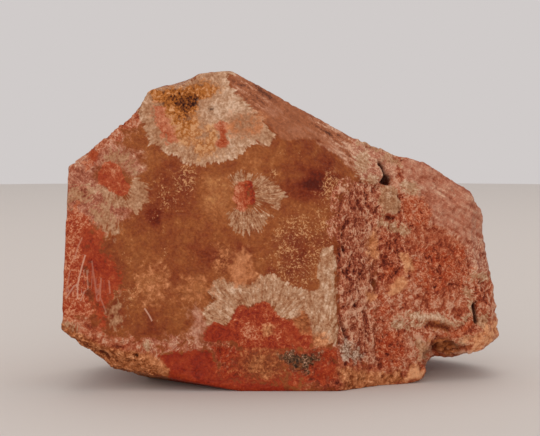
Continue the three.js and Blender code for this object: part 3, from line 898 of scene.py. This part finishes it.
def makeOpal():
    material = bpy.data.materials.new("commonOpalSandedAndBroken")
    material.use_nodes = True
    tree = material.node_tree
    add = partial(addNode, tree)
    place = add("ShaderNodeTexCoord", out="Object")
    mm = add("ShaderNodeVectorMath", {0: place, "Scale": 1000.0}, operation="SCALE")

    # grain fields, each centred on zero
    fields = {}
    for name, (size, octaves, twist) in opal["grains"].items():
        lumpy = add("ShaderNodeTexNoise", {"Vector": mm, "Scale": 1 / size, "Detail": octaves,
                                           "Distortion": twist})
        fields[name] = add("ShaderNodeMath", {0: lumpy, 1: 0.5}, operation="SUBTRACT")
    for name, (size, octaves, twist, upright, low, high) in opal["threads"].items():
        stretched = add("ShaderNodeVectorMath", {0: mm, 1: (1.0, 1.0, upright)}, operation="MULTIPLY")
        lumpy = add("ShaderNodeTexNoise", {"Vector": stretched, "Scale": 1 / size, "Detail": octaves,
                                           "Distortion": twist})
        ridge = add("ShaderNodeMath", {0: lumpy, 1: 0.5}, operation="PINGPONG")
        fields[name] = add("ShaderNodeMapRange", {"Value": ridge, "From Min": low, "From Max": high,
                                                  "To Min": -0.25, "To Max": 0.75},
                           interpolation_type="SMOOTHSTEP")
    slope = add("ShaderNodeMapping", {"Vector": mm, "Rotation": (0, math.radians(opal["streakTurn"]), 0),
                                      "Scale": opal["streakSize"]}, vector_type="TEXTURE")
    streaky = add("ShaderNodeTexNoise", {"Vector": slope, "Scale": 1.0, "Detail": 3.0})
    fields["streak"] = add("ShaderNodeMath", {0: streaky, 1: 0.5}, operation="SUBTRACT")
    spokes = add("ShaderNodeAttribute", out="Vector", attribute_name="chalkSpoke")
    fan = add("ShaderNodeVectorMath", {0: spokes, "Scale": float(opal["fibreCount"])}, operation="SCALE")
    wander = [opal["fibreWander"]] * 3
    fan = add("ShaderNodeVectorMath", {0: mm, 1: wander, 2: fan}, operation="MULTIPLY_ADD")
    fibrous = add("ShaderNodeTexNoise", {"Vector": fan, "Scale": 1.0, "Detail": 2.0, "Distortion": 0.4})
    fields["fibre"] = add("ShaderNodeMath", {0: fibrous, 1: 0.5}, operation="SUBTRACT")
    # relief in mm, painted shade for the creases, and how broken the surface is
    reliefAndShade = add("ShaderNodeAttribute", out="Vector", attribute_name="reliefAndShade")
    push, fields["creaseShade"], broken = add("ShaderNodeSeparateXYZ", {0: reliefAndShade}).node.outputs

    # waxy brown body, cloudy, with light flecks in places
    for name in ("tone", "fleck", "scratch", "scratchNear"):
        fields[name] = add("ShaderNodeAttribute", out="Fac", attribute_name=name)
    shade = weighedSum(add, opal["brownStart"], opal["brownFields"], fields)
    body = add("ShaderNodeValToRGB", {"Fac": shade}, stops=opal["brown"])
    flecky = weighedSum(add, opal["fleckStart"], opal["fleckFields"], fields)
    low, high = opal["fleckEdge"]
    flecky = add("ShaderNodeMapRange", {"Value": flecky, "From Min": low, "From Max": high,
                                        "To Max": opal["fleckCover"]},
                 interpolation_type="SMOOTHSTEP")
    body = add("ShaderNodeMix", {0: flecky, 6: body, 7: linear(opal["fleck"])}, out=2, data_type="RGBA")

    masks = {}
    for name, recipe in minerals.items():
        body, masks[name] = layMineral(add, fields, body, name, recipe)

    # fine speckle over all of it
    speckle = weighedSum(add, opal["lift"], opal["speckle"], fields)
    body = add("ShaderNodeHueSaturation", {"Color": body, "Value": speckle})

    # pale powder in the scratches, and painted shade darkening the cracks and pits
    rim, middle = opal["scratchEdge"]
    thin = add("ShaderNodeMath", {0: fields["scratch"]}, operation="ABSOLUTE")
    thin = add("ShaderNodeMapRange", {"Value": thin, "From Min": rim, "From Max": middle},
               interpolation_type="SMOOTHSTEP")
    thin = add("ShaderNodeMath", {0: thin, 1: fields["scratchNear"]}, operation="MULTIPLY")
    body = add("ShaderNodeMix", {0: thin, 6: body, 7: linear(opal["scratch"])}, out=2, data_type="RGBA")
    # painted shade: the deeper a pit or crack is pushed in, the nearer its colour comes to black
    shallow, deep = opal["pitShadeDepth"]
    pitShadeMask = add("ShaderNodeMapRange", {"Value": push, "From Min": shallow, "From Max": deep,
                                      "To Max": opal["pitShadeCover"]},
               interpolation_type="SMOOTHSTEP")
    body = add("ShaderNodeMix", {0: pitShadeMask, 6: body, 7: linear(opal["pitShadeColour"])}, out=2, data_type="RGBA")

    # finish: sanded wax on the front, dull chalk and break
    rough = opal["roughness"]
    sheen = add("ShaderNodeMath", {0: broken, 1: rough["broken"] - rough["sawn"], 2: rough["sawn"]},
                operation="MULTIPLY_ADD")
    sheen = add("ShaderNodeMath", {0: masks["chalk"], 1: rough["chalk"], 2: sheen},
                operation="MULTIPLY_ADD")
    sheen = weighedSum(add, sheen, opal["sheenFields"], fields)
    height = weighedSum(add, 0.0, opal["bumpFields"], fields)
    bump = add("ShaderNodeBump", {"Height": height, "Strength": opal["bump"],
                                  "Distance": opal["bumpHeight"]})
    shader = tree.nodes["Principled BSDF"]
    tree.links.new(body, shader.inputs["Base Color"])
    tree.links.new(sheen, shader.inputs["Roughness"])
    tree.links.new(bump, shader.inputs["Normal"])
    shader.inputs["IOR"].default_value = opal["ior"]
    shader.inputs["Specular IOR Level"].default_value = opal["specular"]
    return material


opalStone.data.materials.clear()
opalStone.data.materials.append(makeOpal())
print("opal finished")
